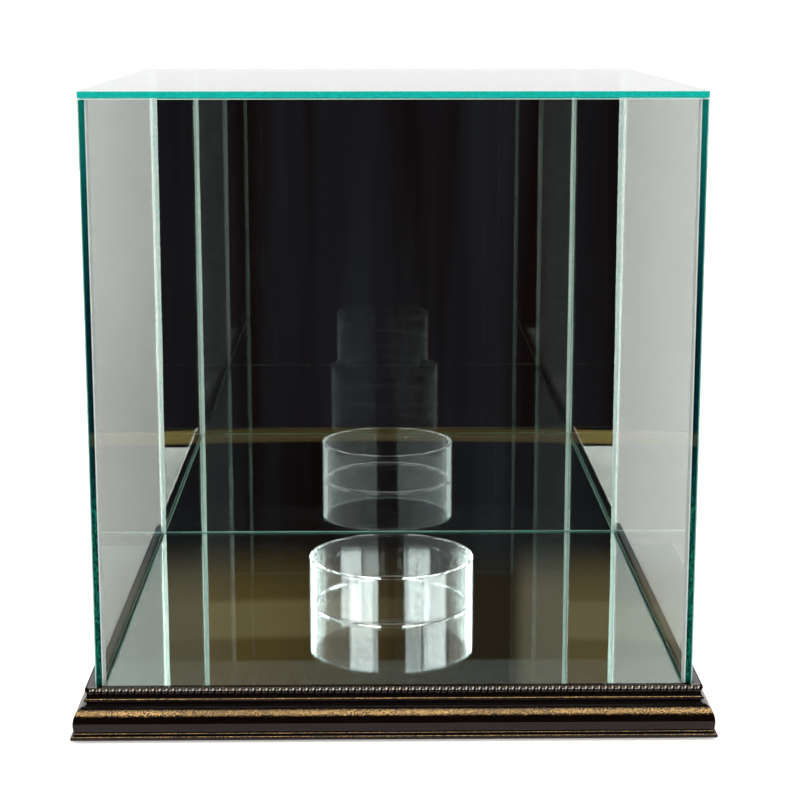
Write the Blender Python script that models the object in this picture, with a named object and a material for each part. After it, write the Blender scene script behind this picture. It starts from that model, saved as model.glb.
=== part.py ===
"""Glass display case for one full-size ball, on a moulded picture-frame base.

Metres, +Z up. The origin is the centre of the case in plan, on the surface it stands on. The front
faces -Y. Three bodies: the base, the glass cover that lifts straight off it, and the loose clear
ring that keeps the ball from rolling.
"""

import math

import bmesh
import bpy
from mathutils import Matrix, Vector

MM = 0.001
GAP = 0.3 * MM  # between pieces that touch
QUARTERS = 4  # the base has four like sides and four like corners

# ---- Driving dimensions ----
BASE_SIDE = 308.0 * MM  # outside the moulding's bottom strip
COVER_SIDE = 285.75 * MM  # outside the glass
CASE_HEIGHT = 304.8 * MM  # from the moulding's underside to the top of the glass
GLASS = 3.0 * MM  # clear panes and the back mirror
FLOOR_MIRROR = 2.0 * MM
DECK = 6.0 * MM
TAPE = 0.9 * MM
PAD_DIAMETER = 14.0 * MM
PAD_THICKNESS = 1.0 * MM
RISER_DIAMETER = 90.0 * MM
RISER_WALL = 3.0 * MM
RISER_HEIGHT = 25.0 * MM
ARRIS = 0.3 * MM  # ground edge of the glass and of the cut tube

# ---- Moulding section: how far each member stands in from BASE_SIDE, and its heights ----
MOULDING_HEIGHT = 24.0 * MM
MOULDING_WIDTH = 22.0 * MM
LEDGE_HEIGHT = 11.0 * MM  # rabbet that carries the deck board
LIP_CLEARANCE = 0.6 * MM  # from the lip to the glass, so that the cover lifts freely
STRIP_HEIGHT = 2.2 * MM
STRIP_ROUND = 0.8 * MM
BEAD_RADIUS = 0.6 * MM
BEAD_INSET = 1.2 * MM
OVOLO_FOOT = 3.4 * MM
OVOLO_INSET = 1.1 * MM
OVOLO_WAIST = 7.3 * MM  # where the ovolo stands out furthest
OVOLO_TOP = 15.6 * MM
OVOLO_RUN = 5.8 * MM
OVOLO_UNDERCUT_DEG = 20.0
QUIRK_INSET = 7.2 * MM
REED_FOOT = 16.8 * MM
REED_RADIUS = 1.1 * MM
PEARLS_FOOT = 20.2 * MM
PEARLS_RISE = 1.4 * MM  # how far the pearl strip stands out of the lip

# ---- Fasteners ----
V_LEG = 5.5 * MM
V_HALF_THICKNESS = 0.3 * MM
V_HALF_ANGLE = math.radians(55.0)
V_DEPTH = 7.0 * MM
V_INSETS = (7.0 * MM, 15.0 * MM)
V_SINK = 0.2 * MM  # below the moulding's underside
PIN_RADIUS = 0.6 * MM
PIN_HEAD_RADIUS = 1.1 * MM
PIN_HEAD = 0.6 * MM
PIN_LENGTH = 13.0 * MM
PIN_SPACING = 150.0 * MM  # between the two pins of a side
PIN_SIDES = 16

# ---- Smoothness of round shapes ----
ARC_STEPS = 10
SMALL_ARC_STEPS = 6
PAD_SIDES = 32
RISER_SIDES = 72

# ---- Levels and half-widths that follow ----
BASE_HALF = BASE_SIDE / 2
BASE_BOTTOM = PAD_THICKNESS + GAP
LEDGE = BASE_BOTTOM + LEDGE_HEIGHT
DECK_BOTTOM = LEDGE + GAP
DECK_TOP = DECK_BOTTOM + DECK
TAPE_BOTTOM = DECK_TOP + GAP
FLOOR_BOTTOM = TAPE_BOTTOM + TAPE + GAP
FLOOR_TOP = FLOOR_BOTTOM + FLOOR_MIRROR
COVER_HALF = COVER_SIDE / 2
COVER_BOTTOM = DECK_TOP + GAP
COVER_TOP = BASE_BOTTOM + CASE_HEIGHT
PANE_TOP = COVER_TOP - GLASS - GAP
LIP_HALF = COVER_HALF + LIP_CLEARANCE
DECK_HALF = LIP_HALF - GAP
FLOOR_HALF = COVER_HALF - GLASS - LIP_CLEARANCE
RISER_BOTTOM = FLOOR_TOP + GAP


def clear_scene():
    for thing in list(bpy.data.objects):
        bpy.data.objects.remove(thing, do_unlink=True)


def material(name, colour, roughness, metallic=0.0, alpha=1.0):
    made = bpy.data.materials.new(name)
    made.use_nodes = True
    shader = made.node_tree.nodes["Principled BSDF"]
    shader.inputs["Base Color"].default_value = (*colour, 1.0)
    shader.inputs["Roughness"].default_value = roughness
    shader.inputs["Metallic"].default_value = metallic
    shader.inputs["Alpha"].default_value = alpha
    return made


def finish_mesh(name, shape):
    bmesh.ops.recalc_face_normals(shape, faces=shape.faces)
    mesh = bpy.data.meshes.new(name)
    shape.to_mesh(mesh)
    shape.free()
    return mesh


def put(name, mesh, look, parent=None, location=(0, 0, 0), turn=0.0):
    """A named object in the scene; location is in the parent's frame."""
    made = bpy.data.objects.new(name, mesh)
    bpy.context.scene.collection.objects.link(made)
    if look and not mesh.materials:
        mesh.materials.append(look)
    made.parent = parent
    made.location = location
    made.rotation_euler.z = turn
    return made


def empty(name, height):
    made = bpy.data.objects.new(name, None)
    bpy.context.scene.collection.objects.link(made)
    made.location.z = height
    return made


def cutter(name, mesh):
    made = put(name, mesh, None)
    made.hide_render = True
    made.display_type = "WIRE"
    return made


def cut(piece, tool):
    step = piece.modifiers.new("cut_" + tool.name, "BOOLEAN")
    step.operation = "DIFFERENCE"
    step.solver = "EXACT"
    step.object = tool


def round_shading(mesh):
    mesh.shade_smooth()
    mesh.set_sharp_from_angle(angle=math.radians(35))


def arc(centre, across, up, start_deg, end_deg, steps):
    """Points of an elliptical arc; the angle runs from -x through +y."""
    points = []
    for step in range(steps + 1):
        angle = math.radians(start_deg + (end_deg - start_deg) * step / steps)
        points.append((centre[0] - across * math.cos(angle), centre[1] + up * math.sin(angle)))
    return points


def slab_mesh(name, size):
    """A box centred on its origin, with ground arrises."""
    shape = bmesh.new()
    bmesh.ops.create_cube(shape, size=1.0)
    bmesh.ops.scale(shape, vec=size, verts=shape.verts)
    bmesh.ops.bevel(
        shape, geom=shape.edges[:], offset=ARRIS, offset_type="OFFSET", segments=1, affect="EDGES"
    )
    return finish_mesh(name, shape)


def turned_mesh(name, profile, sides, closed_ring=False):
    """The profile's (radius, height) points turned about Z. A closed ring's profile has no axis."""
    shape = bmesh.new()
    points = [shape.verts.new((radius, 0.0, height)) for radius, height in profile]
    edges = [shape.edges.new(pair) for pair in zip(points, points[1:])]
    if closed_ring:
        edges.append(shape.edges.new((points[-1], points[0])))
    bmesh.ops.spin(
        shape, geom=points + edges, cent=(0, 0, 0), axis=(0, 0, 1), angle=math.tau, steps=sides,
        use_merge=True, use_duplicate=False,
    )
    bmesh.ops.remove_doubles(shape, verts=shape.verts, dist=0.001 * MM)
    mesh = finish_mesh(name, shape)
    round_shading(mesh)
    return mesh


def prism(shape, outline, bottom, top, place=Matrix()):
    """Adds an upright prism over a plan outline to a bmesh."""
    low = [shape.verts.new(place @ Vector((x, y, bottom))) for x, y in outline]
    high = [shape.verts.new(place @ Vector((x, y, top))) for x, y in outline]
    shape.faces.new(low[::-1])
    shape.faces.new(high)
    for index, corner in enumerate(low):
        after = (index + 1) % len(low)
        shape.faces.new((corner, low[after], high[after], high[index]))


# ---- Base: moulding ----


def moulding_section():
    """The section as (inset from BASE_HALF, height above the underside), up the face and back."""
    face = [(ARRIS, 0.0), (0.0, ARRIS)]
    face += arc(
        (STRIP_ROUND, STRIP_HEIGHT - STRIP_ROUND), STRIP_ROUND, STRIP_ROUND, 0, 90, SMALL_ARC_STEPS
    )
    bead = (BEAD_INSET + BEAD_RADIUS, STRIP_HEIGHT + BEAD_RADIUS)
    face += arc(bead, BEAD_RADIUS, BEAD_RADIUS, -90, 90, SMALL_ARC_STEPS)
    face.append((BEAD_INSET + BEAD_RADIUS, OVOLO_FOOT + ARRIS))
    ovolo = (OVOLO_INSET + OVOLO_RUN, OVOLO_WAIST)
    rise = OVOLO_TOP - OVOLO_WAIST
    face += arc(ovolo, OVOLO_RUN, rise, -OVOLO_UNDERCUT_DEG, 90, ARC_STEPS)
    face += [(QUIRK_INSET, OVOLO_TOP), (QUIRK_INSET, REED_FOOT)]
    reed = (QUIRK_INSET, REED_FOOT + REED_RADIUS)
    face += arc(reed, REED_RADIUS, REED_RADIUS, -90, 90, SMALL_ARC_STEPS)[1:]
    face.append((QUIRK_INSET, PEARLS_FOOT))
    half_strip = (MOULDING_HEIGHT - PEARLS_FOOT) / 2
    pearls = (QUIRK_INSET + ARRIS, PEARLS_FOOT + half_strip)
    face += arc(pearls, PEARLS_RISE, half_strip, -90, 90, SMALL_ARC_STEPS)
    lip = BASE_HALF - LIP_HALF
    back = [
        (lip, MOULDING_HEIGHT),
        (lip, LEDGE_HEIGHT),
        (MOULDING_WIDTH, LEDGE_HEIGHT),
        (MOULDING_WIDTH, 0.0),
    ]
    return face + back


def moulding_mesh():
    """One mitred length, running along X on the -Y side."""
    mitre = GAP / 2 * math.sqrt(2)
    shape = bmesh.new()
    rings = []
    for end in (-1, 1):
        ring = []
        for inset, height in moulding_section():
            reach = BASE_HALF - inset
            ring.append(shape.verts.new((end * (reach - mitre), -reach, BASE_BOTTOM + height)))
        rings.append(ring)
    left, right = rings
    shape.faces.new(left)
    shape.faces.new(right[::-1])
    for index in range(len(left)):
        after = (index + 1) % len(left)
        shape.faces.new((left[index], right[index], right[after], left[after]))
    mesh = finish_mesh("moulding", shape)
    round_shading(mesh)
    return mesh


# ---- Base: V-nails, pins, pads ----


def v_outline(half_thickness, leg):
    """A V in plan: its point at the origin's -X side, its legs opening towards +X."""
    along = Vector((math.cos(V_HALF_ANGLE), math.sin(V_HALF_ANGLE)))
    outward = Vector((-along.y, along.x)) * half_thickness
    point = half_thickness / math.sin(V_HALF_ANGLE)
    outer = along * leg + outward
    inner = along * leg - outward
    return [
        (-point, 0.0),
        (outer.x, -outer.y),
        (inner.x, -inner.y),
        (point, 0.0),
        (inner.x, inner.y),
        (outer.x, outer.y),
    ]


def v_places():
    """Where each V-nail stands: two on each mitre, with the point towards the corner."""
    for quarter in range(QUARTERS):
        bearing = math.radians(45 + 90 * quarter)
        for inset in V_INSETS:
            reach = (BASE_HALF - inset) * math.sqrt(2)
            spot = Vector((math.cos(bearing), math.sin(bearing), 0.0)) * reach
            yield spot, bearing + math.pi


def pin_profile(grow):
    """Half of a headed pin, from its point up to the top of its head at height 0."""
    shaft = PIN_RADIUS + grow
    head = PIN_HEAD_RADIUS + grow
    under = -PIN_HEAD - grow
    return [
        (0.0, -PIN_LENGTH - grow),
        (shaft, -PIN_LENGTH + PIN_RADIUS - grow),
        (shaft, under),
        (head, under),
        (head, grow),
        (0.0, grow),
    ]


def pin_places():
    """Two pins on each side, over the middle of the rabbet's ledge."""
    reach = (BASE_HALF - MOULDING_WIDTH + LIP_HALF) / 2
    for quarter in range(QUARTERS):
        turn = Matrix.Rotation(math.radians(90 * quarter), 4, "Z")
        for side in (-1, 1):
            yield turn @ Vector((side * PIN_SPACING / 2, -reach, DECK_TOP))


def v_nail_slots():
    shape = bmesh.new()
    for spot, bearing in v_places():
        place = Matrix.Translation(spot) @ Matrix.Rotation(bearing, 4, "Z")
        outline = v_outline(V_HALF_THICKNESS + GAP, V_LEG + GAP)
        prism(shape, outline, 0.0, BASE_BOTTOM + V_SINK + V_DEPTH + GAP, place)
    return cutter("v_nail_slots", finish_mesh("v_nail_slots", shape))


def pin_holes(single):
    shape = bmesh.new()
    for spot in pin_places():
        before = set(shape.verts)
        shape.from_mesh(single)
        added = [vertex for vertex in shape.verts if vertex not in before]
        bmesh.ops.translate(shape, vec=spot, verts=added)
    return cutter("pin_holes", finish_mesh("pin_holes", shape))


def build_base(parent):
    bronze = material("bronze_lacquer", (0.035, 0.022, 0.016), 0.25)
    board = material("board", (0.35, 0.24, 0.14), 0.8)
    steel = material("steel", (0.55, 0.55, 0.56), 0.35, metallic=1.0)
    mirror = material("mirror", (0.85, 0.88, 0.87), 0.03, metallic=1.0)
    foam = material("mounting_tape", (0.85, 0.85, 0.82), 0.7)
    felt = material("felt", (0.04, 0.04, 0.04), 0.95)

    slots = v_nail_slots()
    holes = pin_holes(turned_mesh("pin_hole", pin_profile(GAP), PIN_SIDES))

    moulding = moulding_mesh()
    for quarter, side in enumerate(("front", "right", "back", "left")):
        turn = math.radians(90 * quarter)
        length = put("moulding_" + side, moulding, bronze, parent, turn=turn)
        cut(length, slots)
        cut(length, holes)

    board_mesh = slab_mesh("deck_board", (2 * DECK_HALF, 2 * DECK_HALF, DECK))
    deck = put("deck_board", board_mesh, board, parent, (0, 0, DECK_BOTTOM + DECK / 2))
    cut(deck, holes)

    shape = bmesh.new()
    prism(shape, v_outline(V_HALF_THICKNESS, V_LEG), 0.0, V_DEPTH)
    nail = finish_mesh("v_nail", shape)
    for number, (spot, bearing) in enumerate(v_places(), start=1):
        spot.z = BASE_BOTTOM + V_SINK
        put(f"v_nail_{number}", nail, steel, parent, spot, bearing)

    pin = turned_mesh("deck_pin", pin_profile(0.0), PIN_SIDES)
    for number, spot in enumerate(pin_places(), start=1):
        sunk = spot - Vector((0, 0, GAP))
        put(f"deck_pin_{number}", pin, steel, parent, sunk)

    tape = slab_mesh("tape", (COVER_SIDE / 10, COVER_SIDE * 0.7, TAPE))
    for side, name in ((-1, "tape_left"), (1, "tape_right")):
        put(name, tape, foam, parent, (side * COVER_SIDE / 4, 0, TAPE_BOTTOM + TAPE / 2))

    floor = slab_mesh("mirror_floor", (2 * FLOOR_HALF, 2 * FLOOR_HALF, FLOOR_MIRROR))
    put("mirror_floor", floor, mirror, parent, (0, 0, FLOOR_BOTTOM + FLOOR_MIRROR / 2))

    radius = PAD_DIAMETER / 2
    outline = [(0.0, 0.0), (radius, 0.0), (radius, PAD_THICKNESS), (0.0, PAD_THICKNESS)]
    pad = turned_mesh("pad", outline, PAD_SIDES)
    reach = BASE_HALF - MOULDING_WIDTH / 2
    for quarter in range(QUARTERS):
        turn = Matrix.Rotation(math.radians(90 * quarter), 4, "Z")
        put(f"pad_{quarter + 1}", pad, felt, parent, turn @ Vector((-reach, -reach, 0)))


# ---- Cover ----


def build_cover(parent):
    """Front pane and back mirror run the full width, the sides stand between them under the top."""
    glass = material("clear_glass", (0.86, 0.96, 0.92), 0.02, alpha=0.25)
    silvered = material("back_mirror", (0.85, 0.88, 0.87), 0.03, metallic=1.0)
    height = PANE_TOP - COVER_BOTTOM
    middle = height / 2
    depth = COVER_SIDE - 2 * (GLASS + GAP)
    out = COVER_HALF - GLASS / 2

    wide = slab_mesh("wide_pane", (COVER_SIDE, GLASS, height))
    put("front_glass", wide, glass, parent, (0, -out, middle))
    mirror = slab_mesh("back_mirror", (COVER_SIDE, GLASS, height))
    put("back_mirror", mirror, silvered, parent, (0, out, middle))
    side = slab_mesh("side_pane", (GLASS, depth, height))
    put("left_glass", side, glass, parent, (-out, 0, middle))
    put("right_glass", side, glass, parent, (out, 0, middle))
    top = slab_mesh("top_pane", (COVER_SIDE, COVER_SIDE, GLASS))
    put("top_glass", top, glass, parent, (0, 0, height + GAP + GLASS / 2))


# ---- Riser ----


def build_riser(parent):
    acrylic = material("clear_acrylic", (0.95, 0.97, 0.97), 0.05, alpha=0.3)
    outer = RISER_DIAMETER / 2
    inner = outer - RISER_WALL
    section = [
        (outer, ARRIS),
        (outer, RISER_HEIGHT - ARRIS),
        (outer - ARRIS, RISER_HEIGHT),
        (inner + ARRIS, RISER_HEIGHT),
        (inner, RISER_HEIGHT - ARRIS),
        (inner, ARRIS),
        (inner + ARRIS, 0.0),
        (outer - ARRIS, 0.0),
    ]
    ring = turned_mesh("riser_ring", section, RISER_SIDES, closed_ring=True)
    put("riser_ring", ring, acrylic, parent)


clear_scene()
build_base(empty("base", 0.0))
build_cover(empty("cover", COVER_BOTTOM))
build_riser(empty("riser", RISER_BOTTOM))
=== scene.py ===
"""Looks of the ball display case: glass cover with a mirrored back, mirror floor, beaded bronze base.

Metres, +Z up, the front faces -Y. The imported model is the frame. Pieces made here replace the plain
mouldings, panes, mirrors and ring; the hidden board, tape, pins, nails and felt keep their shape.
"""

import math

import bmesh
import bpy
from mathutils import Matrix, Vector, noise


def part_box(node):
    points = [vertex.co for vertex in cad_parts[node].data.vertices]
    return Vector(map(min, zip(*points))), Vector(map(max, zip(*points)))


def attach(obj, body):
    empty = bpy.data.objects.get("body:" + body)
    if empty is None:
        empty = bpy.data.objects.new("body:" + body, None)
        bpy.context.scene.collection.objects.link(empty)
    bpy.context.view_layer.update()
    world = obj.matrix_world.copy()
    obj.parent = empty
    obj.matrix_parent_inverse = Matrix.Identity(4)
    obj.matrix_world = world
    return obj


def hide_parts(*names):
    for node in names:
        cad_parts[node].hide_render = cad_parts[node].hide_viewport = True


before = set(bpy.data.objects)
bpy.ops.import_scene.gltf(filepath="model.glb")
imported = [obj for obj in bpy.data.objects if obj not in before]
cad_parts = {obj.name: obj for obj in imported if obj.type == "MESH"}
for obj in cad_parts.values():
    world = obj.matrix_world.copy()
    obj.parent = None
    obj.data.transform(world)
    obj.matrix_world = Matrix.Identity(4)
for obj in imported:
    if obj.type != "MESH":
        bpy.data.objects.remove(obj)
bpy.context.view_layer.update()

MM = 0.001
SIDES = ("front", "right", "back", "left")
HAIRLINE = 0.03 * MM  # between pieces that look joined
FIT_GAP = 0.3 * MM  # the frame's gap between pieces that touch

# ---- Moulding section: insets from the outer side, heights above the underside ----
STRIP_HEIGHT = 2.2 * MM
STRIP_ROUND = 0.8 * MM
BEAD_RADIUS = 0.6 * MM
BEAD_INSET = 1.2 * MM
OVOLO_FOOT = 3.4 * MM
OVOLO_INSET = 1.1 * MM
OVOLO_WAIST = 7.3 * MM
OVOLO_TOP = 15.6 * MM
OVOLO_RUN = 5.8 * MM
OVOLO_UNDERCUT_DEG = 20.0
QUIRK_INSET = 7.2 * MM
REED_FOOT = 16.8 * MM
REED_RADIUS = 1.1 * MM
PEARLS_FOOT = 20.2 * MM
PEARLS_INSET = 7.5 * MM
PEARLS_RISE = 1.35 * MM
PEARLS_SUNK = 0.4 * MM  # how deep the row's backing sits in the moulding
PEARL_PITCH = 3.175 * MM
PEARL_STEPS = 8  # facets along a pearl, and across it
PEARL_HEIGHT_SHARE = 0.985  # of the strip they are carved from
MOULDING_SHARP_DEG = 40
PEARLS_SHARP_DEG = 60
LEDGE_HEIGHT = 11.0 * MM
SMALL_ROUND = 0.35 * MM

# ---- Glass and ring ----
PANE_ARRIS = 0.35 * MM
SQUARE_ON = 0.999  # a face's normal lies along an axis
SEAM_STEP = 1.2 * MM
SEAM_FILLET = {"front": (2.1 * MM, 1.7 * MM), "back": (1.5 * MM, 2.2 * MM)}  # below, above
SEAM_WANDER = (300, 0.10)  # how its width varies: features to the metre, and by what share
SEAM_DRIFT = (25, 0.14)
SEAM_SHARP_DEG = 50
SEAM_BELLY = 0.4  # how full the fillet's middle is, as a share of its width
SEAM_TOE = (0.92, 0.1)  # where it thins out, likewise
SEAM_WETTED_STRIP = 2  # of the section's strips: the one that lies on the front pane
SEAM_BEAD_STRIPS = (3, 4, 5, 6)  # and those that face into the case
SEAM_FILM_GLOW_FADE = (2.4 * MM, 0.6 * MM)  # the painted glow's dark and bright side, in from the pane's end
SEAM_FILM_WAVER = 1.2 * MM
SEAM_HIGHLIGHT_EDGE = (0.15 * MM, 0.35 * MM)
SEAM_HIGHLIGHT_WAVER = 0.7 * MM
RING_SEGMENTS = 288
RING_WALL = 3.0 * MM
RING_ARRIS = 0.2 * MM
RING_ARRIS_STEPS = 4
RING_SHARP_DEG = 5  # so small that the tube's walls are shaded straight up

# ---- Camera: where it stands, the way it looks, its lens ----
CAMERA_PLACE = (-10.174 * MM, -1022.808 * MM, 346.421 * MM)
CAMERA_YAW = 0.0146
CAMERA_PITCH = 0.1941
CAMERA_LENS = 86.97
CAMERA_SHIFT = -0.025

# ---- Stage ----
TABLE_HALF = 0.187
FLOOR_HALF = 3.0
FLOOR_GLOW = 0.4

# ---- Studio: pairs to fade over, as bearings in degrees from the front or as a direction's z ----
BEHIND = (135.0, 160.0)
OPENING = (21.0, 18.0)  # the dark opening in front, either side
LEFT_LAMP = ((-62.0, -60.0), (-26.0, -28.0))
RIGHT_LAMP = ((45.0, 48.0), (84.0, 80.0))
FILL_LAMP = ((18.0, 20.0), (44.0, 42.0))
FILL_SHARE = 0.3
LAMP_HEIGHTS_IN_RING = ((0.275, 0.283), (0.352, 0.344))
LAMP_HEIGHTS_ON_LACQUER = ((0.02, 0.10), (0.38, 0.34))
LAMP_AFTER_TWO, LAMP_AFTER_THREE, LAMP_AFTER_MORE = 13.0, 3.0, 24.0  # strength by reflections
HIGH_BOXES = ((0.34, 0.56), (0.96, 0.86))
BOARD = (26.0, 20.0)
BOARD_HEIGHTS = ((-0.2245, -0.2230), (-0.2165, -0.2180))
CEILING = (0.80, 0.94)
SHELF_HEIGHTS = ((0.300, 0.304), (0.322, 0.318))


# ---- Shader helpers ----


def node(tree, kind, inputs=None, **settings):
    """A shader node; each input is a value or a socket to link from."""
    made = tree.nodes.new("ShaderNode" + kind)
    for key, value in settings.items():
        setattr(made, key, value)
    for key, value in (inputs or {}).items():
        if isinstance(value, bpy.types.NodeSocket):
            tree.links.new(value, made.inputs[key])
        else:
            made.inputs[key].default_value = value
    return made


def math_node(tree, operation, first, second=0.0, third=0.0, clamp=False):
    """One operation on one, two or three values or sockets."""
    made = node(tree, "Math", {0: first, 1: second, 2: third}, operation=operation, use_clamp=clamp)
    return made.outputs[0]


def ramp(tree, factor, stops):
    """A colour ramp's colour; stops are (place, colour) with a grey value or three numbers."""
    made = node(tree, "ValToRGB", {"Fac": factor})
    for index, (place, colour) in enumerate(stops):
        if not isinstance(colour, tuple):
            colour = (colour,) * 3
        if index < 2:
            stop = made.color_ramp.elements[index]
            stop.position = place
        else:
            stop = made.color_ramp.elements.new(place)
        stop.color = (*colour, 1.0)
    return made.outputs["Color"]


def smooth(tree, value, low, high, start=0.0, end=1.0):
    """Eases from start to end while the value goes from low to high."""
    made = node(
        tree, "MapRange",
        {"Value": value, "From Min": low, "From Max": high, "To Min": start, "To Max": end},
        interpolation_type="SMOOTHSTEP",
    )
    return made.outputs["Result"]


def between(tree, value, rise, fall):
    """1 inside an interval and 0 outside; rise and fall are the pairs its two ends fade over."""
    return math_node(tree, "MULTIPLY", smooth(tree, value, *rise), smooth(tree, value, *fall))


def mix(tree, factor, first, second):
    """Blends two colours, each a tuple or a socket."""
    made = node(tree, "Mix", data_type="RGBA")
    for socket, value in ((made.inputs[0], factor), (made.inputs[6], first), (made.inputs[7], second)):
        if isinstance(value, bpy.types.NodeSocket):
            tree.links.new(value, socket)
        elif isinstance(value, tuple):
            socket.default_value = (*value, 1.0)
        else:
            socket.default_value = value
    return made.outputs[2]


def grain(tree, per_metre, detail=2.0, roughness=0.5, stretch=(1, 1, 1)):
    """Noise in the object's own space, about per_metre features to the metre."""
    place = node(tree, "TexCoord").outputs["Object"]
    if stretch != (1, 1, 1):
        place = node(tree, "Mapping", {"Vector": place, "Scale": stretch}).outputs["Vector"]
    made = node(
        tree, "TexNoise",
        {"Vector": place, "Scale": per_metre, "Detail": detail, "Roughness": roughness},
    )
    return made.outputs["Fac"]


def principled(name, inputs):
    """A new material with its tree and its shader."""
    made = bpy.data.materials.new(name)
    made.use_nodes = True
    tree = made.node_tree
    shader = tree.nodes["Principled BSDF"]
    for key, value in inputs.items():
        shader.inputs[key].default_value = value
    return made, tree, shader


def bump(tree, shader, height, distance, strength):
    """Relief in the shading only."""
    made = node(tree, "Bump", {"Height": height, "Distance": distance, "Strength": strength})
    tree.links.new(made.outputs["Normal"], shader.inputs["Normal"])


# ---- Materials ----


def bronze_lacquer(name, rubbing_and_sheen):
    """Near-black brown gloss lacquer with bronze flecks over the slopes that face up and out: a wiped
    finish, placed where the overhead light falls, so it is partly a painted highlight.
    """
    settings = {"Coat Weight": 0.25, "Coat Roughness": 0.04, "Specular IOR Level": 0.3}
    made, tree, shader = principled(name, settings)
    fine = ramp(tree, grain(tree, 3200, 2, 0.6), [(0.40, 0.25), (0.60, 1.0)])
    patch = smooth(tree, grain(tree, 45, 3), 0.3, 0.65, 0.6, 1.0)
    normal = node(tree, "NewGeometry").outputs["Normal"]
    upward = node(tree, "SeparateXYZ", {"Vector": normal}).outputs["Z"]
    # Painted highlight: the bronze follows the slopes that face the high light, and flat tops get little
    # of it, kept dark as painted shade.
    lit_slope = smooth(tree, upward, 0.16, 0.50)
    flat_top_shade = smooth(tree, upward, 0.56, 0.88, 1.0, 0.15)
    rubbed_and_lit = math_node(tree, "MULTIPLY", lit_slope, flat_top_shade)
    thinned = math_node(tree, "MULTIPLY_ADD", rubbed_and_lit, 0.25, grain(tree, 1700, 4, 0.85))
    fleck = ramp(tree, thinned, [(0.69, 0.0), (0.79, rubbing_and_sheen)])
    amount = math_node(tree, "MULTIPLY", fleck, fine)
    amount = math_node(tree, "MULTIPLY", amount, patch, clamp=True)
    dark = mix(tree, grain(tree, 120, 2), (0.0014, 0.0007, 0.0005), (0.0036, 0.0018, 0.0012))
    tree.links.new(mix(tree, amount, dark, (0.66, 0.41, 0.15)), shader.inputs["Base Color"])
    tree.links.new(smooth(tree, amount, 0.0, 0.05), shader.inputs["Metallic"])
    tree.links.new(smooth(tree, amount, 0.0, 0.4, 0.07, 0.42), shader.inputs["Roughness"])
    bump(tree, shader, grain(tree, 700, 2), 0.008 * MM, 0.5)
    return made


def sight_through(made, tree, shader, colour, density, shade):
    """Glass that absorbs in its thickness and lets lamps shine through."""
    path = node(tree, "LightPath").outputs["Is Shadow Ray"]
    clear = node(tree, "BsdfTransparent", {"Color": (*shade, 1.0)}).outputs[0]
    both = node(tree, "MixShader", {0: path, 1: shader.outputs[0], 2: clear}).outputs[0]
    output = tree.nodes["Material Output"]
    tree.links.new(both, output.inputs["Surface"])
    body = node(tree, "VolumeAbsorption", {"Color": (*colour, 1.0), "Density": density})
    tree.links.new(body.outputs[0], output.inputs["Volume"])
    return made


def clear_glass():
    """Float glass, faintly green in its depth."""
    settings = {"Roughness": 0.0, "IOR": 1.52, "Transmission Weight": 1.0}
    made, tree, shader = principled("clear_glass", settings)
    film = ramp(tree, grain(tree, 14, 4, 0.6, (1, 1, 0.5)), [(0.35, 1.0), (0.75, (0.975, 0.98, 0.975))])
    tree.links.new(film, shader.inputs["Base Color"])
    return sight_through(made, tree, shader, (0.15, 0.90, 0.84), 14.0, (0.94, 0.98, 0.965))


def clear_acrylic():
    """The ring's cast tube, clearer than the glass."""
    settings = {"Roughness": 0.0, "IOR": 1.49, "Transmission Weight": 1.0}
    made, tree, shader = principled("clear_acrylic", settings)
    film = ramp(tree, grain(tree, 60, 3), [(0.3, 1.0), (0.8, (0.985, 0.985, 0.99))])
    tree.links.new(film, shader.inputs["Base Color"])
    return sight_through(made, tree, shader, (0.9, 0.95, 1.0), 1.0, (0.97, 0.98, 0.98))


def painted_glow_edge(name, stops, streak=0.35):
    """The end grain of a pane: the teal of the glass's depth, painted as the glow of light carried
    through it, brighter with height.
    """
    made, tree, shader = principled(name, {"Roughness": 0.18, "Specular IOR Level": 0.25})
    place = node(tree, "TexCoord").outputs["Object"]
    height = node(tree, "SeparateXYZ", {"Vector": place}).outputs["Z"]
    low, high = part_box("front_glass")
    share = smooth(tree, height, low.z, high.z)
    colour = ramp(tree, share, stops)
    lines = ramp(tree, grain(tree, 900, 3, 0.6), [(0.35, 1.0 - streak), (0.65, 1.0)])
    shaded = node(tree, "Mix", data_type="RGBA", blend_type="MULTIPLY")
    shaded.inputs[0].default_value = 1.0
    tree.links.new(colour, shaded.inputs[6])
    tree.links.new(lines, shaded.inputs[7])
    tree.links.new(shaded.outputs[2], shader.inputs["Base Color"])
    return made


def ground_arris():
    """The narrow ground chamfer along the edge of the glass: frosted, so it catches any light."""
    made, tree, shader = principled("ground_arris", {"Roughness": 0.45})
    frost = grain(tree, 1500, 3, 0.7)
    colour = ramp(tree, frost, [(0.3, (0.20, 0.44, 0.38)), (0.65, (0.46, 0.68, 0.62))])
    tree.links.new(colour, shader.inputs["Base Color"])
    return made


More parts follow.
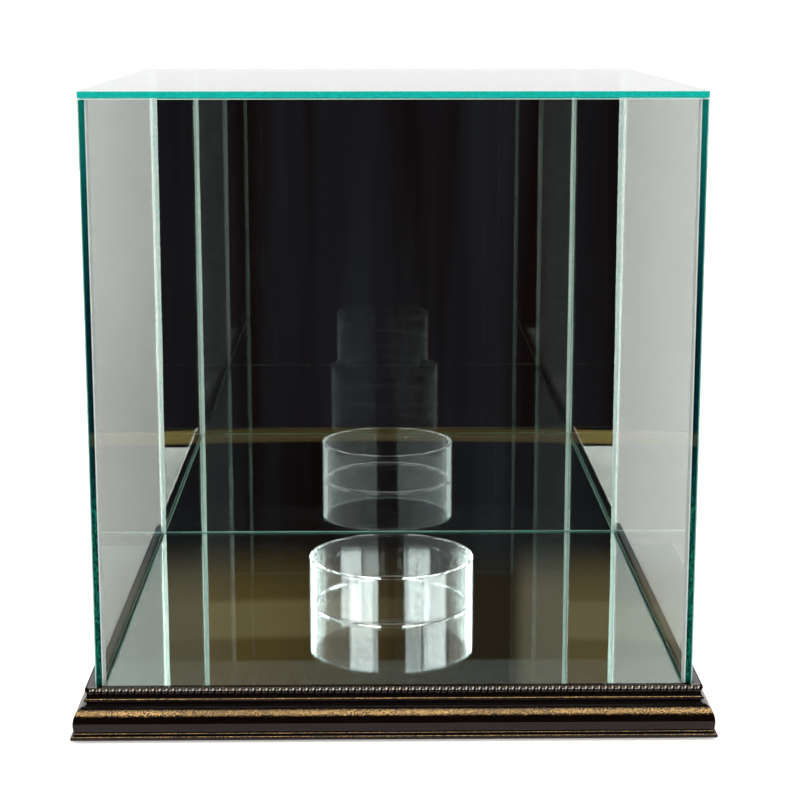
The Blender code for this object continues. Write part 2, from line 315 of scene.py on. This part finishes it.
def seam_film_and_glow():
    """Adhesive in a corner, painted with the glow of light carried through the side pane's end: deep
    teal above, dark in the middle, scribbled green below.
    """
    made, tree, shader = principled("seam_film_and_glow", {"Roughness": 0.2, "Specular IOR Level": 0.05})
    place = node(tree, "TexCoord").outputs["Object"]
    parts = node(tree, "SeparateXYZ", {"Vector": place})
    low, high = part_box("front_glass")
    span = {"Value": parts.outputs["Z"], "From Min": low.z, "From Max": high.z}
    share = node(tree, "MapRange", span).outputs["Result"]
    # Painted glow by height: the side of the film towards the pane's outer face is painted brighter than
    # the side towards the case.
    outer = ramp(tree, share, [
        (0.0, (0.001, 0.085, 0.058)), (0.30, (0.001, 0.060, 0.050)), (0.40, (0.0, 0.035, 0.055)),
        (0.66, (0.0, 0.030, 0.055)), (0.84, (0.0, 0.110, 0.125)), (1.0, (0.001, 0.300, 0.260)),
    ])
    inner = ramp(tree, share, [
        (0.0, (0.0, 0.022, 0.014)), (0.30, (0.0, 0.016, 0.012)), (0.40, (0.0, 0.004, 0.010)),
        (0.66, (0.0, 0.003, 0.009)), (0.84, (0.0, 0.080, 0.070)), (1.0, (0.001, 0.220, 0.160)),
    ])
    off_centre = math_node(tree, "ABSOLUTE", parts.outputs["X"])
    wavy = math_node(tree, "MULTIPLY_ADD", grain(tree, 220, 3), SEAM_FILM_WAVER, off_centre)
    dark_side, bright_side = SEAM_FILM_GLOW_FADE
    across = smooth(tree, wavy, -low.x - dark_side, -low.x - bright_side)
    colour = mix(tree, across, inner, outer)
    # The strokes of the two front corners mirror each other, so they are drawn once and folded over.
    half = {"X": off_centre, "Y": parts.outputs["Y"], "Z": parts.outputs["Z"]}
    folded = node(tree, "CombineXYZ", half).outputs["Vector"]
    slant = {"Vector": folded, "Rotation": (0.0, 0.55, 0.0), "Scale": (1.0, 1.0, 0.25)}
    slanted = node(tree, "Mapping", slant).outputs["Vector"]
    scratches = {"Vector": slanted, "Scale": 2300.0, "Detail": 2.0}
    strokes = node(tree, "TexNoise", scratches).outputs["Fac"]
    lines = ramp(tree, strokes, [(0.50, 0.0), (0.58, 1.0)])
    scribble = math_node(tree, "MULTIPLY", lines, smooth(tree, share, 0.42, 0.30, 0.06, 0.9))
    tree.links.new(mix(tree, scribble, colour, (0.01, 0.30, 0.21)), shader.inputs["Base Color"])
    bump(tree, shader, strokes, 0.05 * MM, 0.4)
    return made


def seam_bead_highlight():
    """The face of the adhesive that stands in the corner, painted near white as a bright highlight band
    down the corner.
    """
    settings = {"Roughness": 0.12, "Coat Weight": 0.6, "Coat Roughness": 0.03}
    made, tree, shader = principled("seam_bead_highlight", settings)
    # Painted highlight: pale green to near white.
    colour = ramp(tree, grain(tree, 500, 4, 0.7), [(0.35, (0.62, 0.90, 0.80)), (0.6, (0.96, 1.0, 0.97))])
    tree.links.new(colour, shader.inputs["Base Color"])
    return made


def seam_wetted_painted_light():
    """The same adhesive where it lies against the front pane: a ragged milky edge that is a painted
    highlight, then grey painted for the light seen through the clear adhesive.
    """
    made, tree, shader = principled("seam_wetted_painted_light", {"Roughness": 0.3})
    place = node(tree, "TexCoord").outputs["Object"]
    off_centre = math_node(tree, "ABSOLUTE", node(tree, "SeparateXYZ", {"Vector": place}).outputs["X"])
    inner = -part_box("left_glass")[1].x
    # Painted highlight along the ragged edge; the grey beyond is painted light seen through the
    # adhesive.
    ragged = math_node(tree, "MULTIPLY", grain(tree, 500, 4, 0.7), SEAM_HIGHLIGHT_WAVER)
    depth = math_node(tree, "SUBTRACT", math_node(tree, "SUBTRACT", inner, off_centre), ragged)
    milky = smooth(tree, depth, *SEAM_HIGHLIGHT_EDGE, 1.0, 0.0)
    grey = mix(tree, grain(tree, 300, 2), (0.57, 0.57, 0.55), (0.62, 0.62, 0.59))
    tree.links.new(mix(tree, milky, grey, (0.96, 0.95, 0.92)), shader.inputs["Base Color"])
    return made


def silvering():
    """The mirror's reflecting layer, very slightly uneven."""
    made, tree, shader = principled("silvering", {"Metallic": 1.0, "Roughness": 0.0})
    haze = ramp(tree, grain(tree, 30, 4, 0.6), [(0.3, (0.83, 0.87, 0.85)), (0.7, (0.87, 0.90, 0.88))])
    tree.links.new(haze, shader.inputs["Base Color"])
    return made


def backing_paint():
    """Grey protective paint on the mirror's rear."""
    made, tree, shader = principled("backing_paint", {"Roughness": 0.55})
    cloud = grain(tree, 25, 5, 0.6)
    colour = ramp(tree, cloud, [(0.3, (0.215, 0.225, 0.23)), (0.7, (0.235, 0.245, 0.25))])
    tree.links.new(colour, shader.inputs["Base Color"])
    bump(tree, shader, grain(tree, 600, 3), 0.05 * MM, 0.6)
    return made


def fibre_board():
    """Pressed brown fibre with darker specks."""
    made, tree, shader = principled("fibre_board", {"Roughness": 0.85})
    fibres = grain(tree, 1400, 5, 0.8)
    specks = ramp(tree, fibres, [(0.35, (0.17, 0.10, 0.05)), (0.6, (0.40, 0.27, 0.16))])
    cloud = mix(tree, grain(tree, 20, 3), (0.40, 0.28, 0.17), (0.33, 0.22, 0.13))
    tree.links.new(mix(tree, 0.45, cloud, specks), shader.inputs["Base Color"])
    bump(tree, shader, fibres, 0.1 * MM, 0.5)
    return made


def zinc_steel():
    """Bright zinc-plated steel."""
    made, tree, shader = principled("zinc_steel", {"Metallic": 1.0})
    colour = ramp(tree, grain(tree, 400, 4), [(0.3, (0.45, 0.45, 0.47)), (0.7, (0.66, 0.66, 0.65))])
    tree.links.new(colour, shader.inputs["Base Color"])
    tree.links.new(smooth(tree, grain(tree, 900, 3), 0.3, 0.7, 0.25, 0.45), shader.inputs["Roughness"])
    return made


def foam_tape():
    """White foam tape with open cells."""
    made, tree, shader = principled("foam_tape", {"Roughness": 0.8})
    place = node(tree, "TexCoord").outputs["Object"]
    cells = node(tree, "TexVoronoi", {"Scale": 1600.0, "Vector": place}).outputs["Distance"]
    colour = ramp(tree, cells, [(0.1, (0.62, 0.62, 0.58)), (0.6, (0.86, 0.86, 0.82))])
    tree.links.new(colour, shader.inputs["Base Color"])
    bump(tree, shader, cells, 0.1 * MM, 0.5)
    return made


def felt():
    """Black felt."""
    made, tree, shader = principled("felt", {"Roughness": 0.95, "Sheen Weight": 0.5})
    fibres = grain(tree, 2200, 5, 0.8, (1, 1, 0.3))
    colour = ramp(tree, fibres, [(0.3, (0.012, 0.012, 0.013)), (0.7, (0.06, 0.06, 0.062))])
    tree.links.new(colour, shader.inputs["Base Color"])
    bump(tree, shader, fibres, 0.2 * MM, 0.7)
    return made


# ---- Mesh helpers ----


def mesh_object(name, shape, looks, body, stands_for=()):
    """Turns a bmesh into a piece that rides on a body."""
    bmesh.ops.recalc_face_normals(shape, faces=shape.faces)
    mesh = bpy.data.meshes.new(name)
    shape.to_mesh(mesh)
    shape.free()
    for look in looks:
        mesh.materials.append(look)
    made = bpy.data.objects.new(name, mesh)
    bpy.context.scene.collection.objects.link(made)
    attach(made, body)
    if stands_for:
        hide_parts(*stands_for)
    return made


def smooth_shade(made, angle_deg):
    """Shades a piece smooth, but for edges sharper than the angle."""
    made.data.shade_smooth()
    made.data.set_sharp_from_angle(angle=math.radians(angle_deg))


def arc(centre, across, up, start_deg, end_deg, steps):
    """Points of an elliptical arc; the angle runs from -x through +y."""
    points = []
    for step in range(steps + 1):
        angle = math.radians(start_deg + (end_deg - start_deg) * step / steps)
        points.append((centre[0] - across * math.cos(angle), centre[1] + up * math.sin(angle)))
    return points


def loft(shape, rings):
    """Skins rings of the same number of points, caps the two ends and returns the skin's faces."""
    made = [[shape.verts.new(point) for point in ring] for ring in rings]
    faces = []
    for near, far in zip(made, made[1:]):
        for index in range(len(near)):
            after = (index + 1) % len(near)
            faces.append(shape.faces.new((near[index], far[index], far[after], near[after])))
    shape.faces.new(made[0])
    shape.faces.new(made[-1][::-1])
    return faces


def turn_to(side, shape):
    """Turns what was built at the front round to another side."""
    turn = Matrix.Rotation(math.radians(90 * SIDES.index(side)), 4, "Z")
    bmesh.ops.transform(shape, matrix=turn, verts=shape.verts)


# ---- Base: moulding with its row of pearls ----

length_low, length_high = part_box("moulding_front")
BASE_HALF = -length_low.y
BASE_BOTTOM = length_low.z
MOULDING_HEIGHT = length_high.z - length_low.z
MOULDING_WIDTH = length_high.y - length_low.y
LIP_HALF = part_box("deck_board")[1].x + FIT_GAP


def moulding_section():
    """The section as (inset, height), up the face and down the back."""
    face = [(SMALL_ROUND, 0.0), (0.0, SMALL_ROUND)]
    strip_centre = (STRIP_ROUND, STRIP_HEIGHT - STRIP_ROUND)
    face += arc(strip_centre, STRIP_ROUND, STRIP_ROUND, 0, 90, 10)
    bead_centre = (BEAD_INSET + BEAD_RADIUS, STRIP_HEIGHT + BEAD_RADIUS)
    face += arc(bead_centre, BEAD_RADIUS, BEAD_RADIUS, -88, 88, 16)
    rise = OVOLO_TOP - OVOLO_WAIST
    ovolo = (OVOLO_INSET + OVOLO_RUN, OVOLO_WAIST)
    face += arc(ovolo, OVOLO_RUN, rise, -OVOLO_UNDERCUT_DEG, 89, 44)
    face += [(QUIRK_INSET, OVOLO_TOP), (QUIRK_INSET, REED_FOOT)]
    face += arc((QUIRK_INSET, REED_FOOT + REED_RADIUS), REED_RADIUS, REED_RADIUS, -89, 89, 20)
    face += [(QUIRK_INSET, PEARLS_FOOT - 2 * HAIRLINE)]
    face += [(PEARLS_INSET, PEARLS_FOOT - HAIRLINE)]
    lip_edge = (PEARLS_INSET + SMALL_ROUND, MOULDING_HEIGHT - SMALL_ROUND)
    face += arc(lip_edge, SMALL_ROUND, SMALL_ROUND, 0, 90, 5)
    lip = BASE_HALF - LIP_HALF
    inner = (lip - SMALL_ROUND, MOULDING_HEIGHT - SMALL_ROUND)
    face += arc(inner, -SMALL_ROUND, SMALL_ROUND, 90, 0, 5)
    return face + [(lip, LEDGE_HEIGHT), (MOULDING_WIDTH, LEDGE_HEIGHT), (MOULDING_WIDTH, 0.0)]


def mitred_ring(points, end):
    """A section at one end of the front length, cut on the mitre."""
    ring = []
    for inset, height in points:
        reach = BASE_HALF - inset
        ring.append((end * (reach - HAIRLINE), -reach, BASE_BOTTOM + height))
    return ring


def build_mouldings(look):
    """Four mitred lengths in the place of the frame's."""
    section = moulding_section()
    for side in SIDES:
        shape = bmesh.new()
        loft(shape, [mitred_ring(section, -1), mitred_ring(section, 1)])
        turn_to(side, shape)
        name = "moulding_" + side
        made = mesh_object(name + "_length", shape, [look], "base", [name])
        smooth_shade(made, MOULDING_SHARP_DEG)


def build_pearls(look):
    """A row of touching pearls along each length, carved from one strip."""
    backing = BASE_HALF - PEARLS_INSET
    count = int(2 * backing / PEARL_PITCH)
    half_height = (MOULDING_HEIGHT - PEARLS_FOOT) / 2
    middle = BASE_BOTTOM + PEARLS_FOOT + half_height
    across_shares = [-math.cos(math.pi * step / PEARL_STEPS) for step in range(PEARL_STEPS + 1)]
    stations = []
    for pearl in range(count):
        centre = (pearl - (count - 1) / 2) * PEARL_PITCH
        last = 1 if pearl == count - 1 else 0
        for step in range(PEARL_STEPS + last):
            share = -math.cos(math.pi * step / PEARL_STEPS)
            stations.append((centre + share * PEARL_PITCH / 2, share))
    end = backing - HAIRLINE
    stations = [(-end, 1.0)] + stations + [(end, 1.0)]
    for side in SIDES:
        shape = bmesh.new()
        rings = []
        for place, share in stations:
            front, back = [], []
            for lift in across_shares:
                swell = math.sqrt(max(0.0, 1.0 - share**2 - lift**2))
                height = middle + lift * half_height * PEARL_HEIGHT_SHARE
                front.append((place, -backing - PEARLS_RISE * swell, height))
                back.append((place, -backing + PEARLS_SUNK, height))
            rings.append(front + back[::-1])
        loft(shape, rings)
        turn_to(side, shape)
        made = mesh_object("pearls_" + side, shape, [look], "base")
        smooth_shade(made, PEARLS_SHARP_DEG)


# ---- Glass panes and mirrors ----


def slab(name, node_name, body, face_looks, glow_edge_look, arris_look):
    """A pane in a CAD node's place. face_looks are for its two broad faces, low side first."""
    low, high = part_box(node_name)
    size = high - low
    thin = min(range(3), key=lambda axis: size[axis])
    shape = bmesh.new()
    bmesh.ops.create_cube(shape, size=1.0)
    bmesh.ops.scale(shape, vec=size, verts=shape.verts)
    bmesh.ops.translate(shape, vec=(low + high) / 2, verts=shape.verts)
    bmesh.ops.bevel(
        shape, geom=shape.edges[:], offset=PANE_ARRIS, offset_type="OFFSET", segments=2,
        profile=0.6, affect="EDGES",
    )
    bmesh.ops.recalc_face_normals(shape, faces=shape.faces)
    looks = [face_looks[0], face_looks[1], glow_edge_look, arris_look]
    for face in shape.faces:
        normal = face.normal
        if abs(normal[thin]) > SQUARE_ON:
            face.material_index = 1 if normal[thin] > 0 else 0
        elif max(abs(part) for part in normal) > SQUARE_ON:
            face.material_index = 2
        else:
            face.material_index = 3
    return mesh_object(name, shape, looks, body, [node_name])


def build_panes(glass, silver, paint, edge, top_glow_edge, arris):
    """The cover's panes and the floor mirror, whose silver lies under its glass."""
    # The panes' ends take the painted glow of light carried through the glass.
    for side in ("front", "left", "right"):
        slab(side + "_pane", side + "_glass", "cover", (glass, glass), edge, arris)
    slab("top_pane", "top_glass", "cover", (glass, glass), top_glow_edge, top_glow_edge)
    slab("mirror_back", "back_mirror", "cover", (silver, paint), edge, arris)
    slab("floor_mirror", "mirror_floor", "base", (silver, glass), edge, arris)


def seam_ring(corner, towards, height, swell, film):
    """One level of an upright seam. towards is (x, y) from the inner corner into the case."""
    x, y = corner
    into_x, into_y = towards
    pane_low, pane_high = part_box("left_glass")
    thick = pane_high.x - pane_low.x - 2 * PANE_ARRIS
    belly = swell * SEAM_BELLY
    far, near = swell * SEAM_TOE[0], swell * SEAM_TOE[1]
    points = [
        (-thick, 0.0), (-thick, -film), (0.0, -film), (swell, -film), (far, near),
        (belly, belly), (near, far), (0.0, swell), (0.0, 0.0),
    ]
    return [(x + into_x * across, y + into_y * along, height) for across, along in points]


def build_seams(film_and_glow_look, bead_highlight_look, wetted_light_look):
    """Adhesive in the four upright corners, with a fillet of it standing in the case."""
    low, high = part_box("left_glass")
    film = FIT_GAP - 2 * HAIRLINE
    levels = int((high.z - low.z) / SEAM_STEP)
    for across, side in ((-1, "left"), (1, "right")):
        for along, end in ((-1, "front"), (1, "back")):
            corner = (across * -high.x, along * (high.y + HAIRLINE))
            rings = []
            for level in range(levels + 1):
                height = low.z + (high.z - low.z) * level / levels
                wander = noise.noise(Vector((height * SEAM_WANDER[0], across * 7.0, along * 3.0)))
                drift = noise.noise(Vector((height * SEAM_DRIFT[0], across * 3.0, along * 9.0)))
                foot, head = SEAM_FILLET[end]
                swell = foot + (head - foot) * level / levels
                swell *= 1.0 + SEAM_WANDER[1] * wander + SEAM_DRIFT[1] * drift
                rings.append(seam_ring(corner, (-across, -along), height, swell, film))
            shape = bmesh.new()
            for index, face in enumerate(loft(shape, rings)):
                strip = index % len(rings[0])
                if strip == SEAM_WETTED_STRIP:
                    face.material_index = 2
                elif strip in SEAM_BEAD_STRIPS:
                    face.material_index = 1
            looks = [film_and_glow_look, bead_highlight_look, wetted_light_look if end == "front" else film_and_glow_look]
            made = mesh_object(f"seam_{end}_{side}", shape, looks, "cover")
            smooth_shade(made, SEAM_SHARP_DEG)


# ---- Riser ring ----


def build_ring(look):
    """A cut length of tube with its four edges eased."""
    low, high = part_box("riser_ring")
    outer = (high.x - low.x) / 2
    inner = outer - RING_WALL
    section = []
    corners = (
        (outer - RING_ARRIS, low.z + RING_ARRIS, -90),
        (outer - RING_ARRIS, high.z - RING_ARRIS, 0),
        (inner + RING_ARRIS, high.z - RING_ARRIS, 90),
        (inner + RING_ARRIS, low.z + RING_ARRIS, 180),
    )
    for radius, level, start in corners:
        for step in range(RING_ARRIS_STEPS + 1):
            angle = math.radians(start + 90 * step / RING_ARRIS_STEPS)
            across, up = RING_ARRIS * math.cos(angle), RING_ARRIS * math.sin(angle)
            section.append((radius + across, level + up))
    shape = bmesh.new()
    rings = []
    for segment in range(RING_SEGMENTS):
        angle = math.tau * segment / RING_SEGMENTS
        ring = [(r * math.cos(angle), r * math.sin(angle), z) for r, z in section]
        rings.append([shape.verts.new(point) for point in ring])
    for near, far in zip(rings, rings[1:] + rings[:1]):
        for index in range(len(near)):
            after = (index + 1) % len(near)
            shape.faces.new((near[index], near[after], far[after], far[index]))
    made = mesh_object("riser_tube", shape, [look], "riser", ["riser_ring"])
    smooth_shade(made, RING_SHARP_DEG)


# ---- Pieces that keep their CAD shape ----


def give_look(names, look):
    """Puts one material on frame nodes that stay as they are."""
    for name in names:
        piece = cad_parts[name]
        if not piece.material_slots:
            piece.data.materials.append(look)
        for place in piece.material_slots:
            place.material = look


def dress_hidden_parts():
    """Materials of the board, nails, pins, tape and pads."""
    give_look(["deck_board"], fibre_board())
    numbers = range(1, 9)
    give_look([f"v_nail_{n}" for n in numbers] + [f"deck_pin_{n}" for n in numbers], zinc_steel())
    give_look(["tape_left", "tape_right"], foam_tape())
    give_look([f"pad_{n}" for n in range(1, 5)], felt())


# ---- Stage: floor, light and camera ----


def floor_piece(name, half, hole_half, look, seen_in_glass):
    """A square of floor, with a square hole or none; glass and mirrors show it only if seen_in_glass."""
    shape = bmesh.new()
    hole_edges = (-hole_half, hole_half) if hole_half else ()
    lines = sorted({-half, half, *hole_edges})
    points = {(x, y): shape.verts.new((x, y, 0.0)) for x in lines for y in lines}
    for left, right in zip(lines, lines[1:]):
        for near, far in zip(lines, lines[1:]):
            off_centre = max(abs(left + right), abs(near + far)) / 2
            if off_centre < hole_half:
                continue
            corner_keys = ((left, near), (right, near), (right, far), (left, far))
            shape.faces.new([points[key] for key in corner_keys])
    mesh = bpy.data.meshes.new(name)
    shape.to_mesh(mesh)
    shape.free()
    mesh.materials.append(look)
    made = bpy.data.objects.new(name, mesh)
    bpy.context.scene.collection.objects.link(made)
    made.visible_glossy = seen_in_glass
    made.visible_transmission = seen_in_glass


def build_stage():
    """A pale floor. Mirrors show only the table top under the case; the lacquer shows it dimmer."""
    look, tree, shader = principled("pale_floor", {"Roughness": 0.9, "Specular IOR Level": 0.1})
    bright = ramp(tree, grain(tree, 3), [(0.3, (0.93, 0.91, 0.885)), (0.7, (0.95, 0.93, 0.905))])
    path = node(tree, "LightPath")
    reflected = math_node(tree, "GREATER_THAN", path.outputs["Glossy Depth"], 0.5)
    no_glass = math_node(tree, "LESS_THAN", path.outputs["Transmission Depth"], 0.5)
    on_lacquer = math_node(tree, "MULTIPLY", reflected, no_glass)
    tree.links.new(mix(tree, on_lacquer, bright, (0.42, 0.37, 0.38)), shader.inputs["Base Color"])
    tree.links.new(bright, shader.inputs["Emission Color"])
    through_glass = math_node(tree, "SUBTRACT", 1.0, reflected)
    through_glass = math_node(tree, "SUBTRACT", through_glass, no_glass, clamp=True)
    dimmed = math_node(tree, "MAXIMUM", on_lacquer, through_glass)
    glow = smooth(tree, dimmed, 0.0, 1.0, FLOOR_GLOW, 0.0)
    tree.links.new(glow, shader.inputs["Emission Strength"])
    floor_piece("table_top", TABLE_HALF, 0.0, look, True)
    floor_piece("floor", FLOOR_HALF, TABLE_HALF, look, False)


def looking(tree):
    """Where a ray looks: its x, its z, its bearing from the front, and that bearing without its sign."""
    way = node(tree, "TexCoord").outputs["Generated"]
    parts = node(tree, "SeparateXYZ", {"Vector": way})
    ahead = math_node(tree, "MULTIPLY", parts.outputs["Y"], -1.0)
    bearing = math_node(tree, "DEGREES", math_node(tree, "ARCTAN2", parts.outputs["X"], ahead))
    off_axis = math_node(tree, "ABSOLUTE", bearing)
    return parts.outputs["X"], parts.outputs["Z"], bearing, off_axis


def lamp_bands(tree, bearing, off_axis):
    """Two lamps beside the dark opening and a weaker fill between: they make the ring's bright bars."""
    left = between(tree, bearing, *LEFT_LAMP)
    right = between(tree, bearing, *RIGHT_LAMP)
    fill = math_node(tree, "MULTIPLY", between(tree, off_axis, *FILL_LAMP), FILL_SHARE)
    return math_node(tree, "MAXIMUM", math_node(tree, "ADD", left, right), fill)


def lamps_in_ring(tree, path, lamps, z):
    """Where the lamps show in clear pieces, only after two reflections or more, and how bright."""
    bounces = path.outputs["Glossy Depth"]
    repeated = math_node(tree, "GREATER_THAN", bounces, 1.5)
    in_glass = math_node(tree, "GREATER_THAN", path.outputs["Transmission Depth"], 0.5)
    shown = math_node(tree, "MULTIPLY", math_node(tree, "MULTIPLY", repeated, in_glass), lamps)
    shown = math_node(tree, "MULTIPLY", shown, between(tree, z, *LAMP_HEIGHTS_IN_RING))
    two = math_node(tree, "COMPARE", bounces, 2.0, 0.5)
    three = math_node(tree, "COMPARE", bounces, 3.0, 0.5)
    more = math_node(tree, "GREATER_THAN", bounces, 3.5)
    strength = math_node(tree, "MULTIPLY", two, LAMP_AFTER_TWO)
    strength = math_node(tree, "MULTIPLY_ADD", three, LAMP_AFTER_THREE, strength)
    strength = math_node(tree, "MULTIPLY_ADD", more, LAMP_AFTER_MORE, strength)
    return shown, strength


def dark_room(tree, bearing, z):
    """The unlit room in front of the case: near black, with faint upright and level bands."""
    stretched = {"X": bearing, "Y": 0.0, "Z": math_node(tree, "MULTIPLY", z, 3.0)}
    upright = node(tree, "CombineXYZ", stretched).outputs[0]
    streaks = node(tree, "TexNoise", {"Vector": upright, "Scale": 0.45, "Detail": 3.0}).outputs["Fac"]
    low_dark = ramp(tree, streaks, [(0.40, (0.006, 0.003, 0.003)), (0.70, (0.016, 0.016, 0.02))])
    to_left = smooth(tree, bearing, 4.0, -8.0)
    to_right = smooth(tree, bearing, 4.2, 4.8)
    shelf = math_node(tree, "MULTIPLY", between(tree, z, *SHELF_HEIGHTS), to_left)
    wall = mix(tree, to_left, (0.030, 0.019, 0.010), (0.150, 0.090, 0.030))
    wall = mix(tree, to_right, wall, (0.155, 0.120, 0.082))
    wall = mix(tree, shelf, wall, (0.23, 0.16, 0.075))
    return mix(tree, smooth(tree, z, 0.27, 0.30), low_dark, wall)


def room_in_glass(tree, path, lamps, view, behind):
    """What clear glass and mirrors reflect: walls, a dark opening in front, a board and a ceiling."""
    z, bearing, off_axis = view
    walls = ramp(tree, smooth(tree, z, -0.6, 0.7), [(0.0, 0.30), (0.42, 0.55), (1.0, 0.95)])
    room = mix(tree, behind, walls, (1.0, 0.99, 0.98))
    shown, strength = lamps_in_ring(tree, path, lamps, z)
    room = mix(tree, shown, room, strength)
    room = mix(tree, smooth(tree, off_axis, *OPENING), room, dark_room(tree, bearing, z))
    board = between(tree, z, *BOARD_HEIGHTS)
    board = math_node(tree, "MULTIPLY", board, smooth(tree, off_axis, *BOARD))
    room = mix(tree, board, room, (0.46, 0.33, 0.10))
    return mix(tree, smooth(tree, z, *CEILING), room, (0.60, 0.60, 0.59))


def room_in_lacquer(tree, lamps, view, behind):
    """What the lacquer reflects: the same lamps, soft boxes set high all round, and little else."""
    z, _, off_axis = view
    opening = smooth(tree, off_axis, *OPENING)
    room = mix(tree, opening, (0.07, 0.06, 0.06), (0.010, 0.009, 0.009))
    room = mix(tree, behind, room, (0.9, 0.88, 0.88))
    room = mix(tree, between(tree, z, *HIGH_BOXES), room, (2.5, 2.42, 2.28))
    glints = math_node(tree, "MULTIPLY", lamps, between(tree, z, *LAMP_HEIGHTS_ON_LACQUER))
    return mix(tree, glints, room, (34.0, 33.0, 31.0))


def room_through_glass(tree, path, x, z, behind):
    """What shows straight through the panes, and what lights the matt pieces."""
    low_left = math_node(tree, "MULTIPLY", smooth(tree, x, 0.0, -0.06), smooth(tree, z, -0.12, -0.22))
    backdrop = mix(tree, low_left, (1.64, 1.57, 1.49), (1.36, 1.26, 1.16))
    room = mix(tree, behind, (0.92, 0.93, 0.93), backdrop)
    matt = math_node(tree, "GREATER_THAN", path.outputs["Diffuse Depth"], 0.5)
    return mix(tree, matt, room, (1.5, 1.5, 1.5))


def studio_world():
    """White all round for the eye; what glass, mirrors and lacquer show is a quieter studio."""
    world = bpy.data.worlds.new("studio")
    bpy.context.scene.world = world
    world.use_nodes = True
    world.cycles.sampling_method = "NONE"
    tree = world.node_tree
    tree.nodes.clear()
    path = node(tree, "LightPath")
    x, z, bearing, off_axis = looking(tree)
    view = (z, bearing, off_axis)
    behind = smooth(tree, off_axis, *BEHIND)
    lamps = lamp_bands(tree, bearing, off_axis)
    in_glass = room_in_glass(tree, path, lamps, view, behind)
    in_lacquer = room_in_lacquer(tree, lamps, view, behind)
    rough = math_node(tree, "LESS_THAN", path.outputs["Is Singular Ray"], 0.5)
    reflection = mix(tree, rough, in_glass, in_lacquer)
    straight = room_through_glass(tree, path, x, z, behind)
    reflected = math_node(tree, "GREATER_THAN", path.outputs["Glossy Depth"], 0.5)
    seen = mix(tree, reflected, straight, reflection)
    seen = mix(tree, path.outputs["Is Camera Ray"], seen, (1.0, 1.0, 1.0))
    back = node(tree, "Background", {"Color": seen, "Strength": 1.0})
    output = node(tree, "OutputWorld")
    tree.links.new(back.outputs[0], output.inputs["Surface"])


def build_camera():
    """The camera of the photograph."""
    data = bpy.data.cameras.new("camera")
    data.sensor_width = 36.0
    data.lens = CAMERA_LENS
    data.shift_y = CAMERA_SHIFT
    camera = bpy.data.objects.new("camera", data)
    camera.location = CAMERA_PLACE
    camera.rotation_euler = (math.pi / 2 - CAMERA_PITCH, 0.0, -CAMERA_YAW)
    bpy.context.scene.collection.objects.link(camera)
    bpy.context.scene.camera = camera


def set_film():
    """Plain colours, and enough bounces for panes seen through panes."""
    scene = bpy.context.scene
    scene.view_settings.view_transform = "Standard"
    scene.cycles.max_bounces = 32
    scene.cycles.glossy_bounces = 16
    scene.cycles.transmission_bounces = 24
    scene.cycles.transparent_max_bounces = 24


build_camera()
set_film()
studio_world()
build_stage()

build_mouldings(bronze_lacquer("bronze_lacquer", 0.8))
# The pearls get little bronze, so their tops stay dark: painted shade.
build_pearls(bronze_lacquer("pearl_lacquer", 0.15))

# Painted glow: the panes' ends get the teal brightness of light carried through the glass, even and
# bright on the top pane.
side_glow_edge = painted_glow_edge("painted_glow_edge", [(0.0, (0.005, 0.20, 0.15)), (1.0, (0.005, 0.30, 0.24))])
top_glow_teal = (0.0005, 0.335, 0.275)
top_glow_edge = painted_glow_edge("top_painted_glow_edge", [(0.0, top_glow_teal), (1.0, top_glow_teal)], 0.25)
build_panes(clear_glass(), silvering(), backing_paint(), side_glow_edge, top_glow_edge, ground_arris())
build_seams(seam_film_and_glow(), seam_bead_highlight(), seam_wetted_painted_light())
build_ring(clear_acrylic())
dress_hidden_parts()
